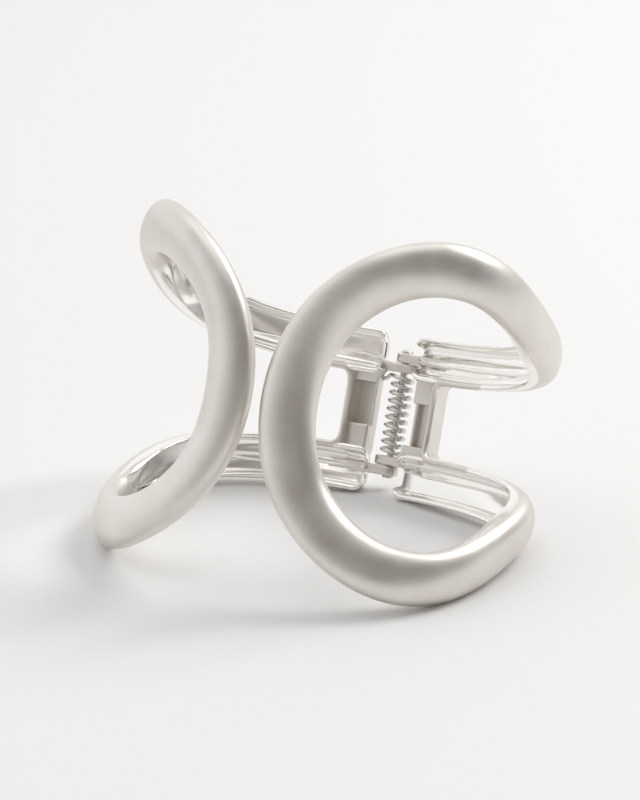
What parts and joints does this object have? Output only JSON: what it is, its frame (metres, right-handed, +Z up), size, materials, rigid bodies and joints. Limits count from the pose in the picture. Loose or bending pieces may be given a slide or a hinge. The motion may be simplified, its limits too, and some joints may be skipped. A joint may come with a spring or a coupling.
{
  "type": "alligator hair clip",
  "caption": "Satin metal hair clip: two open ring-shaped jaws with hollow arms turn on one hinge pin and are held closed by a torsion spring.",
  "frame": {"origin": "on the table plane, under the middle of the box that holds the closed clip", "axes": "+X across both jaws, from the left ring to the right ring; +Y from the mouth towards the hinge; +Z up, with the hinge pin leaning back towards +Y"},
  "size_m": [0.0648, 0.0522, 0.0488],
  "materials": {
    "jaw_metal": "satin silver plating, brighter inside the arms",
    "pin_metal": "bright drawn steel, peened",
    "spring_wire": "nickel-plated spring wire"
  },
  "bodies": {
    "left": {"left_jaw": "jaw_metal", "hinge_pin": "pin_metal", "torsion_spring": "spring_wire"},
    "right": {"right_jaw": "jaw_metal"}
  },
  "joints": [
    {"name": "jaw_hinge", "type": "hinge", "parent": "left", "child": "right", "pos_m": [0, 0.02105, 0.01058], "axis": [0, 0.3978, 0.9175], "range_deg": [0, 60], "stiffness_Nm_per_rad": 0.0135, "springref_deg": -20.05, "deforming": ["torsion_spring"]}
  ]
}
